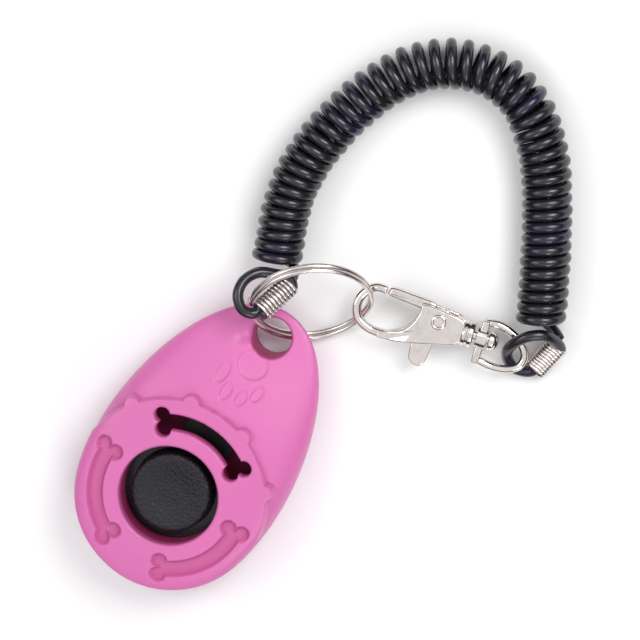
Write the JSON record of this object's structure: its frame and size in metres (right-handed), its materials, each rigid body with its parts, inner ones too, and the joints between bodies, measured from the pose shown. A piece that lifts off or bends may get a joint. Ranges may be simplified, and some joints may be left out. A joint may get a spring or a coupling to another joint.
{
  "type": "clicker trainer",
  "caption": "Egg-shaped dog-training clicker with a recessed push button, split key ring and a spiral wrist coil closed by a swivel lobster clasp.",
  "frame": {"origin": "on the casing's flat back face, under the centre of the button", "axes": "+Y along the casing from the button to the key-ring hole, +Z out of the button, +X completes the right-handed frame"},
  "size_m": [0.0736, 0.1385, 0.0204],
  "materials": {
    "pink_plastic": "satin moulded plastic, warm pink",
    "black_plastic": "glossy sides, fine leather-grain top",
    "black_cord": "smooth glossy flexible cord",
    "nickel_plate": "bright nickel plating",
    "nickel_wire": "bright wound wire",
    "spring_steel": "rolled spring steel"
  },
  "bodies": {
    "casing": {"front_shell": "pink_plastic", "back_shell": "pink_plastic", "leaf_rivet_left": "spring_steel", "leaf_rivet_right": "spring_steel"},
    "button": {"button_cap": "black_plastic"},
    "leaf": {"click_leaf": "spring_steel"},
    "ring": {"key_ring": "nickel_plate"},
    "strap": {"wrist_coil": "black_cord", "left_loop": "black_cord", "right_loop": "black_cord", "left_crimp": "nickel_wire", "right_crimp": "nickel_wire"},
    "bail": {"swivel_bail": "nickel_plate"},
    "clasp": {"clasp_body": "nickel_plate", "gate_spring": "spring_steel", "gate_rivet": "nickel_plate", "swivel_post": "nickel_plate"},
    "gate": {"clasp_gate": "nickel_plate"}
  },
  "joints": [
    {"name": "button_press", "type": "slide", "parent": "casing", "child": "button", "axis": [0, 0, -1], "range_m": [0, 0.0012], "stiffness_N_per_m": 2500, "springref_m": -0.0002},
    {"name": "leaf_snap", "type": "hinge", "parent": "casing", "child": "leaf", "pos_m": [0, 0.017, 0.0047], "axis": [1, 0, 0], "range_deg": [0, 4.2]},
    {"name": "ring_swing", "type": "hinge", "parent": "casing", "child": "ring", "pos_m": [0, 0.039, 0.005], "axis": [0, 0, 1], "range_deg": [-15, 15]},
    {"name": "strap_lift", "type": "hinge", "parent": "ring", "child": "strap", "pos_m": [-0.0073, 0.0446, 0.014], "axis": [0.8131, 0.4886, -0.3164], "range_deg": [-12, 4]},
    {"name": "bail_roll", "type": "hinge", "parent": "strap", "child": "bail", "pos_m": [0.0455, 0.0628, 0.0042], "axis": [0.9818, 0.1812, -0.0574], "range_deg": [-15, 2]},
    {"name": "clasp_swivel", "type": "hinge", "parent": "bail", "child": "clasp", "pos_m": [0.03636, 0.06327, 0.00459], "axis": [0.9627, 0.267, -0.0436], "range_deg": [-20, 4]},
    {"name": "gate_open", "type": "hinge", "parent": "clasp", "child": "gate", "pos_m": [0.027, 0.0615, 0.005], "axis": [0.042, 0.0117, 0.999], "range_deg": [0, 22], "stiffness_Nm_per_rad": 0.03, "springref_deg": -17.19}
  ],
  "couplings": [
    {"joint": "leaf_snap", "follows": "button_press", "rad_per_m": 58.824}
  ]
}
